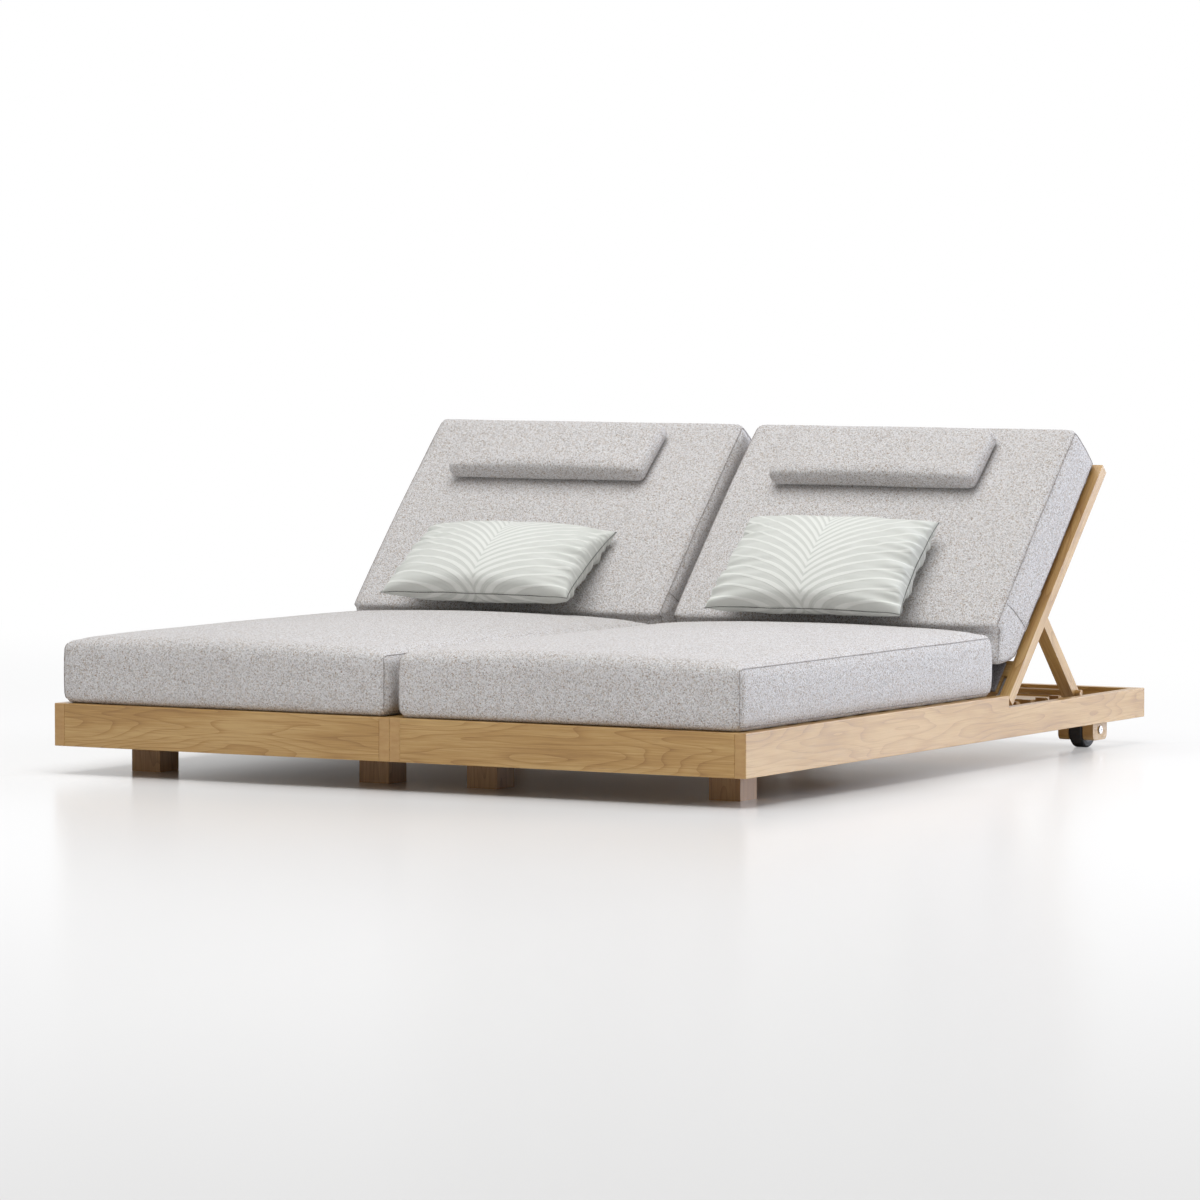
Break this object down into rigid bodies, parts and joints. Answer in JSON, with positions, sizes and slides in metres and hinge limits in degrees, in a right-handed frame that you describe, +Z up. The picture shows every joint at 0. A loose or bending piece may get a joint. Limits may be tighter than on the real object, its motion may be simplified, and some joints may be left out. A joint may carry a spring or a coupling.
{
  "type": "double chaise lounger",
  "caption": "Double outdoor chaise lounger: joined wooden platforms with thick cushions, folding backs on notched props, headrests, throw pillows and rear wheels.",
  "frame": {"origin": "on the floor under the middle of the whole piece", "axes": "+X to the right of someone standing at the foot end and looking at the backs, +Y from the foot end to the rear, +Z up"},
  "size_m": [1.7708, 2, 0.7566],
  "materials": {
    "wood": "satin",
    "woven_fabric": "matte",
    "pillow_fabric": "matte",
    "lining": "matte",
    "steel": "brushed",
    "tyre_rubber": "matte",
    "hub_plastic": "matte"
  },
  "bodies": {
    "base": {"left_outer_rail": "wood", "left_inner_rail": "wood", "left_front_rail": "wood", "left_rear_rail": "wood", "left_ledgers": "wood", "left_seat_slats": "wood", "left_cross_boards": "wood", "left_racks": "wood", "left_seat_cushion": "woven_fabric", "right_outer_rail": "wood", "right_inner_rail": "wood", "right_front_rail": "wood", "right_rear_rail": "wood", "right_ledgers": "wood", "right_seat_slats": "wood", "right_cross_boards": "wood", "right_racks": "wood", "right_seat_cushion": "woven_fabric", "front_legs": "wood", "wheel_cheeks": "wood", "wheel_axles": "steel", "rail_plates": "steel", "hinge_pins": "steel", "joining_bolts": "steel"},
    "left_back": {"left_stiles": "wood", "left_back_rails": "wood", "left_back_slats": "wood", "left_stile_plates": "steel", "left_prop_brackets": "steel", "left_prop_pins": "steel", "left_back_cushion": "woven_fabric", "left_flap": "lining"},
    "left_prop": {"left_prop_arms": "wood", "left_foot_bar": "wood"},
    "left_headrest_pillow": {"left_headrest": "woven_fabric"},
    "left_pillow": {"left_throw_pillow": "pillow_fabric"},
    "left_outer_wheel": {"left_outer_tyre": "tyre_rubber", "left_outer_hub": "hub_plastic"},
    "left_inner_wheel": {"left_inner_tyre": "tyre_rubber", "left_inner_hub": "hub_plastic"},
    "right_back": {"right_stiles": "wood", "right_back_rails": "wood", "right_back_slats": "wood", "right_stile_plates": "steel", "right_prop_brackets": "steel", "right_prop_pins": "steel", "right_back_cushion": "woven_fabric", "right_flap": "lining"},
    "right_prop": {"right_prop_arms": "wood", "right_foot_bar": "wood"},
    "right_headrest_pillow": {"right_headrest": "woven_fabric"},
    "right_pillow": {"right_throw_pillow": "pillow_fabric"},
    "right_outer_wheel": {"right_outer_tyre": "tyre_rubber", "right_outer_hub": "hub_plastic"},
    "right_inner_wheel": {"right_inner_tyre": "tyre_rubber", "right_inner_hub": "hub_plastic"}
  },
  "joints": [
    {"name": "left_recline", "type": "hinge", "parent": "base", "child": "left_back", "pos_m": [-0.4427, 0.2715, 0.1565], "axis": [1, 0, 0], "range_deg": [-46.1, 8.7]},
    {"name": "left_prop_fold", "type": "hinge", "parent": "left_back", "child": "left_prop", "pos_m": [-0.4427, 0.50117, 0.36127], "axis": [1, 0, 0], "range_deg": [-18, 94]},
    {"name": "left_headrest_lift", "type": "slide", "parent": "left_back", "child": "left_headrest_pillow", "axis": [0, -0.7206, 0.6934], "range_m": [0, 0.25]},
    {"name": "left_pillow_lift", "type": "slide", "parent": "left_back", "child": "left_pillow", "axis": [0, -0.7206, 0.6934], "range_m": [0, 0.3]},
    {"name": "left_outer_wheel_spin", "type": "hinge", "parent": "base", "child": "left_outer_wheel", "pos_m": [-0.8025, 0.831, 0.043], "axis": [1, 0, 0], "continuous": true},
    {"name": "left_inner_wheel_spin", "type": "hinge", "parent": "base", "child": "left_inner_wheel", "pos_m": [-0.0829, 0.831, 0.043], "axis": [1, 0, 0], "continuous": true},
    {"name": "right_recline", "type": "hinge", "parent": "base", "child": "right_back", "pos_m": [0.4427, 0.2715, 0.1565], "axis": [1, 0, 0], "range_deg": [-46.1, 8.7]},
    {"name": "right_prop_fold", "type": "hinge", "parent": "right_back", "child": "right_prop", "pos_m": [0.4427, 0.50117, 0.36127], "axis": [1, 0, 0], "range_deg": [-18, 94]},
    {"name": "right_headrest_lift", "type": "slide", "parent": "right_back", "child": "right_headrest_pillow", "axis": [0, -0.7206, 0.6934], "range_m": [0, 0.25]},
    {"name": "right_pillow_lift", "type": "slide", "parent": "right_back", "child": "right_pillow", "axis": [0, -0.7206, 0.6934], "range_m": [0, 0.3]},
    {"name": "right_outer_wheel_spin", "type": "hinge", "parent": "base", "child": "right_outer_wheel", "pos_m": [0.8025, 0.831, 0.043], "axis": [1, 0, 0], "continuous": true},
    {"name": "right_inner_wheel_spin", "type": "hinge", "parent": "base", "child": "right_inner_wheel", "pos_m": [0.0829, 0.831, 0.043], "axis": [1, 0, 0], "continuous": true}
  ],
  "couplings": [
    {"joint": "left_prop_fold", "follows": "left_recline", "ratio": -2.03},
    {"joint": "right_prop_fold", "follows": "right_recline", "ratio": -2.03}
  ]
}
